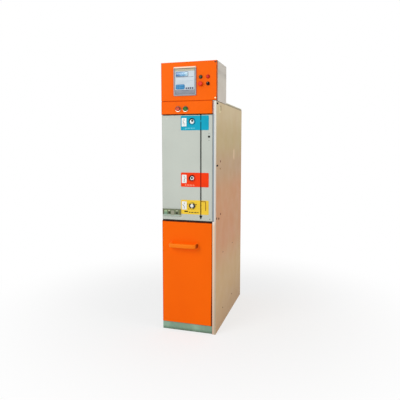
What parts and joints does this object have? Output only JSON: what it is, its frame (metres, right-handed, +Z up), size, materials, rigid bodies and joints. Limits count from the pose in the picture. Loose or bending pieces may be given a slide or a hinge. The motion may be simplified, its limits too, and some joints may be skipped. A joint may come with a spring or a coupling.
{
  "type": "gas-insulated circuit-breaker cubicle",
  "caption": "Tall sheet-metal switchgear cubicle with a relay door on top, a mimic panel with lever ports and label plates, a cable cover with a bar handle, and a channel plinth.",
  "frame": {"origin": "at floor level, in the middle of the rectangle of floor bolts in the plinth, which is also the middle of the overall width and depth of the cabinet", "axes": "+X to the right seen from the front, +Y to the back, so the fronts look along -Y, and +Z up"},
  "size_m": [0.5, 1.177, 2.385],
  "materials": {
    "plinth_paint": "grey-green semi-gloss paint on folded channel",
    "galvanised_sheet": "zinc-coated sheet, matt, faint spangle",
    "cream_paint": "light beige-grey powder coat, fine orange peel",
    "dark_grey_paint": "dark grey powder coat",
    "orange_paint": "orange powder coat, satin",
    "light_grey_paint": "light grey powder coat, satin",
    "teal_film": "printed teal label film",
    "red_film": "printed red label film",
    "yellow_film": "printed yellow label film",
    "black_film": "black diagram strip",
    "brown_film": "brown diagram strip",
    "black_plastic": "moulded black plastic",
    "white_plastic": "white moulded frame with a clear pane",
    "lock_metal": "plated lock barrel",
    "grey_plastic": "greenish grey moulded housing",
    "bright_ring": "plated ring",
    "red_plastic": "red moulded plastic",
    "green_plastic": "green moulded plastic",
    "orange_red_plastic": "orange-red moulded plastic",
    "hinge_zinc": "zinc-plated steel",
    "relay_case_metal": "grey painted relay housing",
    "relay_grey": "silver-grey moulded relay front",
    "navy_plastic": "dark blue rubber keys"
  },
  "bodies": {
    "cubicle": {"plinth_front": "plinth_paint", "plinth_rear": "plinth_paint", "plinth_rails": "plinth_paint", "floor_plate": "galvanised_sheet", "left_side_panel": "galvanised_sheet", "right_end_panel": "cream_paint", "front_upright": "dark_grey_paint", "rear_lower_panel": "galvanised_sheet", "rear_upper_panel": "galvanised_sheet", "roof_plate": "galvanised_sheet", "roof_lid": "cream_paint", "cable_cover": "orange_paint", "cover_handle": "orange_paint", "mimic_panel": "light_grey_paint", "teal_plate": "teal_film", "teal_port": "black_plastic", "red_plate": "red_film", "red_port": "black_plastic", "yellow_plate": "yellow_film", "yellow_port": "black_plastic", "position_windows": "white_plastic", "mimic_line": "black_film", "earth_branch": "brown_film", "panel_lock": "lock_metal", "voltage_indicator": "grey_plastic", "mechanism_band": "orange_paint", "button_bezels": "bright_ring", "lv_floor": "cream_paint", "lv_roof": "cream_paint", "lv_back_wall": "cream_paint", "lv_left_wall": "cream_paint", "lv_right_wall": "cream_paint", "door_hinges": "hinge_zinc"},
    "lv_door": {"lv_door": "orange_paint", "relay_case": "relay_case_metal", "relay_face": "relay_grey", "relay_keys": "navy_plastic", "green_lamp": "green_plastic", "red_lamp": "red_plastic", "mushroom_housing": "black_plastic", "selector_housing": "black_plastic"},
    "open_button": {"open_button": "red_plastic"},
    "close_button": {"close_button": "green_plastic"},
    "mushroom_button": {"mushroom_button": "orange_red_plastic"},
    "selector_knob": {"selector_knob": "black_plastic"}
  },
  "joints": [
    {"name": "lv_door_hinge", "type": "hinge", "parent": "cubicle", "child": "lv_door", "pos_m": [0.238, -0.538, 2.22], "axis": [0, 0, 1], "range_deg": [0, 105]},
    {"name": "open_button_press", "type": "slide", "parent": "cubicle", "child": "open_button", "axis": [0, 1, 0], "range_m": [0, 0.006], "stiffness_N_per_m": 600},
    {"name": "close_button_press", "type": "slide", "parent": "cubicle", "child": "close_button", "axis": [0, 1, 0], "range_m": [0, 0.006], "stiffness_N_per_m": 600},
    {"name": "mushroom_button_press", "type": "slide", "parent": "lv_door", "child": "mushroom_button", "axis": [0, 1, 0], "range_m": [0, 0.004], "stiffness_N_per_m": 500},
    {"name": "selector_turn", "type": "hinge", "parent": "lv_door", "child": "selector_knob", "pos_m": [0.174, -0.56, 2.193], "axis": [0, -1, 0], "range_deg": [-45, 45]}
  ]
}
